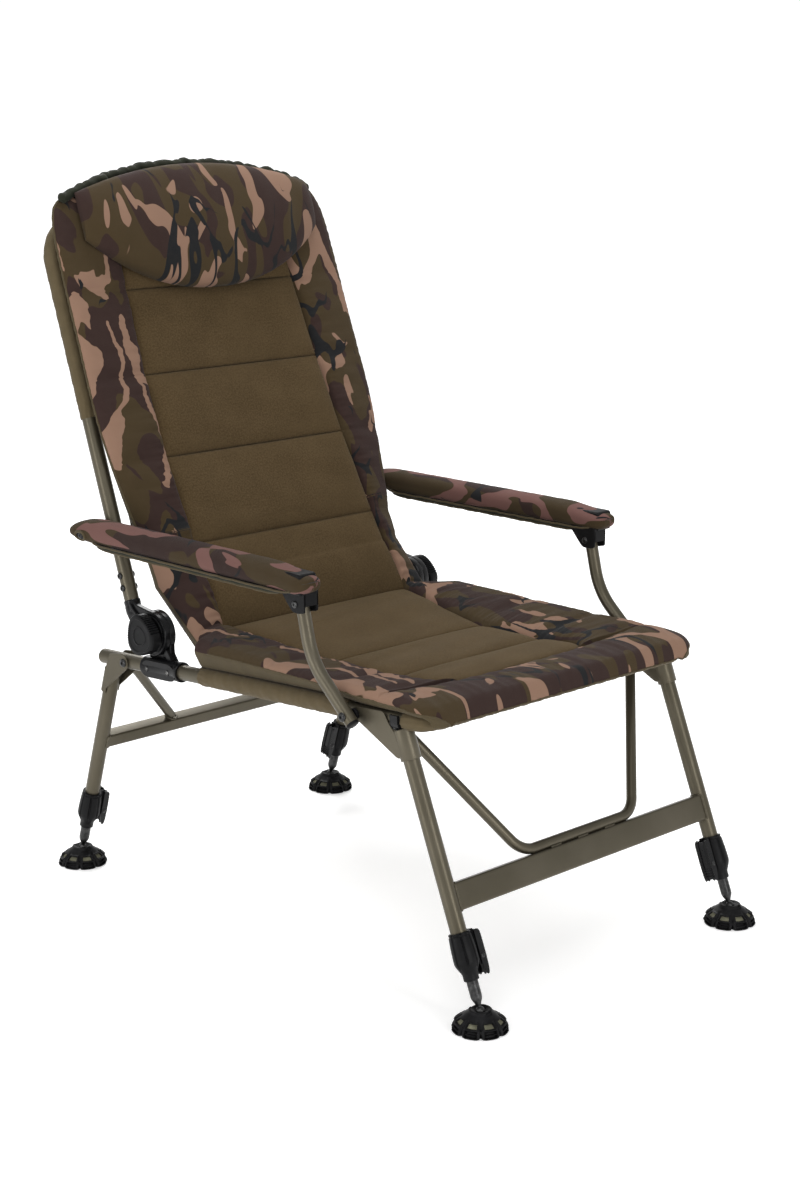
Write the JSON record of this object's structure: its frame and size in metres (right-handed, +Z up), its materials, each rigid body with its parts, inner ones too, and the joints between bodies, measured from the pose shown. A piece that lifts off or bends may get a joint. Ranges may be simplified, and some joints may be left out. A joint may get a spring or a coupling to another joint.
{
  "type": "folding recliner fishing chair",
  "caption": "Low folding recliner chair with a padded seat and back, head pillow, level armrests, clamp-knob back hinge and adjustable legs on swivelling mud feet.",
  "frame": {"origin": "on the ground under the middle of the chair's bounding box, in use", "axes": "+Z up, the chair faces -Y, and +X is the left of the person sitting in it"},
  "size_m": [0.693, 1.023, 1.1521],
  "materials": {
    "frame_paint": "satin olive-grey powder coat on steel tube",
    "camo_cloth": null,
    "fleece": "soft olive fleece",
    "sling_cloth": "plain olive woven polyester",
    "satin_plastic": "satin black moulded nylon",
    "gloss_plastic": "smooth black moulded plastic",
    "black_steel": "black zinc plated steel"
  },
  "bodies": {
    "seat": {"seat_frame": "frame_paint", "seat_sling": "sling_cloth", "seat_cushion": "camo_cloth", "hip_cushion": "fleece", "hinge_saddle_left": "satin_plastic", "hinge_saddle_right": "satin_plastic", "rear_pivot_bolt_left": "black_steel", "rear_pivot_bolt_right": "black_steel", "front_pivot_bolt_left": "black_steel", "front_pivot_bolt_right": "black_steel", "arm_spacer_left": "satin_plastic", "arm_spacer_right": "satin_plastic"},
    "back": {"back_frame": "frame_paint", "back_sling": "sling_cloth", "back_cushion": "camo_cloth", "head_pillow": "camo_cloth", "hinge_socket_left": "satin_plastic", "hinge_socket_right": "satin_plastic", "lower_back_bolt_left": "black_steel", "lower_back_bolt_right": "black_steel", "upper_back_bolt_left": "black_steel", "upper_back_bolt_right": "black_steel", "armrest_pivot_bolt_left": "black_steel", "armrest_pivot_bolt_right": "black_steel"},
    "knob_left": {"hinge_knob_left": "satin_plastic"},
    "knob_right": {"hinge_knob_right": "satin_plastic"},
    "armrest_left": {"armrest_core_left": "satin_plastic", "armrest_cover_left": "camo_cloth", "clevis_pin_left": "black_steel"},
    "arm_tube_left": {"arm_tube_left": "frame_paint", "arm_tube_plug_left": "satin_plastic"},
    "armrest_right": {"armrest_core_right": "satin_plastic", "armrest_cover_right": "camo_cloth", "clevis_pin_right": "black_steel"},
    "arm_tube_right": {"arm_tube_right": "frame_paint", "arm_tube_plug_right": "satin_plastic"},
    "front_legs": {"front_leg_left": "frame_paint", "front_leg_right": "frame_paint", "front_crossbar": "frame_paint", "leg_saddle_left": "gloss_plastic", "leg_saddle_right": "gloss_plastic", "front_left_collar": "satin_plastic", "front_right_collar": "satin_plastic"},
    "rear_legs": {"rear_leg_left": "frame_paint", "rear_leg_right": "frame_paint", "rear_crossbar": "frame_paint", "rear_left_collar": "satin_plastic", "rear_right_collar": "satin_plastic"},
    "front_left_lever": {"front_left_lever": "gloss_plastic"},
    "front_left_inner_leg": {"front_left_inner_leg": "black_steel"},
    "front_left_foot": {"front_left_foot": "satin_plastic"},
    "front_right_lever": {"front_right_lever": "gloss_plastic"},
    "front_right_inner_leg": {"front_right_inner_leg": "black_steel"},
    "front_right_foot": {"front_right_foot": "satin_plastic"},
    "rear_left_lever": {"rear_left_lever": "gloss_plastic"},
    "rear_left_inner_leg": {"rear_left_inner_leg": "black_steel"},
    "rear_left_foot": {"rear_left_foot": "satin_plastic"},
    "rear_right_lever": {"rear_right_lever": "gloss_plastic"},
    "rear_right_inner_leg": {"rear_right_inner_leg": "black_steel"},
    "rear_right_foot": {"rear_right_foot": "satin_plastic"}
  },
  "joints": [
    {"name": "back_recline", "type": "hinge", "parent": "seat", "child": "back", "pos_m": [0, 0.23938, 0.44], "axis": [1, 0, 0], "range_deg": [-35, 85], "deforming": ["hip_cushion"]},
    {"name": "knob_left_turn", "type": "hinge", "parent": "back", "child": "knob_left", "pos_m": [0.284, 0.23938, 0.44], "axis": [1, 0, 0], "range_deg": [-180, 180]},
    {"name": "knob_right_turn", "type": "hinge", "parent": "back", "child": "knob_right", "pos_m": [-0.284, 0.23938, 0.44], "axis": [1, 0, 0], "range_deg": [-180, 180]},
    {"name": "armrest_left_level", "type": "hinge", "parent": "back", "child": "armrest_left", "pos_m": [0.315, 0.33314, 0.5885], "axis": [1, 0, 0], "range_deg": [-85, 35]},
    {"name": "arm_tube_left_swing", "type": "hinge", "parent": "seat", "child": "arm_tube_left", "pos_m": [0.315, -0.238, 0.41243], "axis": [1, 0, 0], "range_deg": [-35, 85]},
    {"name": "armrest_right_level", "type": "hinge", "parent": "back", "child": "armrest_right", "pos_m": [-0.315, 0.33314, 0.5885], "axis": [1, 0, 0], "range_deg": [-85, 35]},
    {"name": "arm_tube_right_swing", "type": "hinge", "parent": "seat", "child": "arm_tube_right", "pos_m": [-0.315, -0.238, 0.41243], "axis": [1, 0, 0], "range_deg": [-35, 85]},
    {"name": "front_legs_fold", "type": "hinge", "parent": "seat", "child": "front_legs", "pos_m": [0, -0.238, 0.41243], "axis": [1, 0, 0], "range_deg": [0, 91]},
    {"name": "rear_legs_fold", "type": "hinge", "parent": "seat", "child": "rear_legs", "pos_m": [0, 0.3051, 0.38112], "axis": [1, 0, 0], "range_deg": [-107, 0]},
    {"name": "front_left_lever_flip", "type": "hinge", "parent": "front_legs", "child": "front_left_lever", "pos_m": [0.261, -0.44601, 0.09459], "axis": [0, -0.9259, 0.3778], "range_deg": [0, 20]},
    {"name": "front_left_leg_extend", "type": "slide", "parent": "front_legs", "child": "front_left_inner_leg", "axis": [0, -0.3778, -0.9259], "range_m": [0, 0.1]},
    {"name": "front_left_foot_tilt", "type": "hinge", "parent": "front_left_inner_leg", "child": "front_left_foot", "pos_m": [0.284, -0.47359, 0.027], "axis": [1, 0, 0], "range_deg": [-15, 15]},
    {"name": "front_right_lever_flip", "type": "hinge", "parent": "front_legs", "child": "front_right_lever", "pos_m": [-0.261, -0.44601, 0.09459], "axis": [0, 0.9259, -0.3778], "range_deg": [0, 20]},
    {"name": "front_right_leg_extend", "type": "slide", "parent": "front_legs", "child": "front_right_inner_leg", "axis": [0, -0.3778, -0.9259], "range_m": [0, 0.1]},
    {"name": "front_right_foot_tilt", "type": "hinge", "parent": "front_right_inner_leg", "child": "front_right_foot", "pos_m": [-0.284, -0.47359, 0.027], "axis": [1, 0, 0], "range_deg": [-15, 15]},
    {"name": "rear_left_lever_flip", "type": "hinge", "parent": "rear_legs", "child": "rear_left_lever", "pos_m": [0.261, 0.4325, 0.09666], "axis": [0, -0.9542, -0.299], "range_deg": [0, 20]},
    {"name": "rear_left_leg_extend", "type": "slide", "parent": "rear_legs", "child": "rear_left_inner_leg", "axis": [0, 0.299, -0.9542], "range_m": [0, 0.1]},
    {"name": "rear_left_foot_tilt", "type": "hinge", "parent": "rear_left_inner_leg", "child": "rear_left_foot", "pos_m": [0.284, 0.45433, 0.027], "axis": [1, 0, 0], "range_deg": [-15, 15]},
    {"name": "rear_right_lever_flip", "type": "hinge", "parent": "rear_legs", "child": "rear_right_lever", "pos_m": [-0.261, 0.4325, 0.09666], "axis": [0, 0.9542, 0.299], "range_deg": [0, 20]},
    {"name": "rear_right_leg_extend", "type": "slide", "parent": "rear_legs", "child": "rear_right_inner_leg", "axis": [0, 0.299, -0.9542], "range_m": [0, 0.1]},
    {"name": "rear_right_foot_tilt", "type": "hinge", "parent": "rear_right_inner_leg", "child": "rear_right_foot", "pos_m": [-0.284, 0.45433, 0.027], "axis": [1, 0, 0], "range_deg": [-15, 15]}
  ],
  "couplings": [
    {"joint": "armrest_left_level", "follows": "back_recline", "ratio": -1},
    {"joint": "arm_tube_left_swing", "follows": "back_recline", "ratio": 1},
    {"joint": "armrest_right_level", "follows": "back_recline", "ratio": -1},
    {"joint": "arm_tube_right_swing", "follows": "back_recline", "ratio": 1}
  ]
}
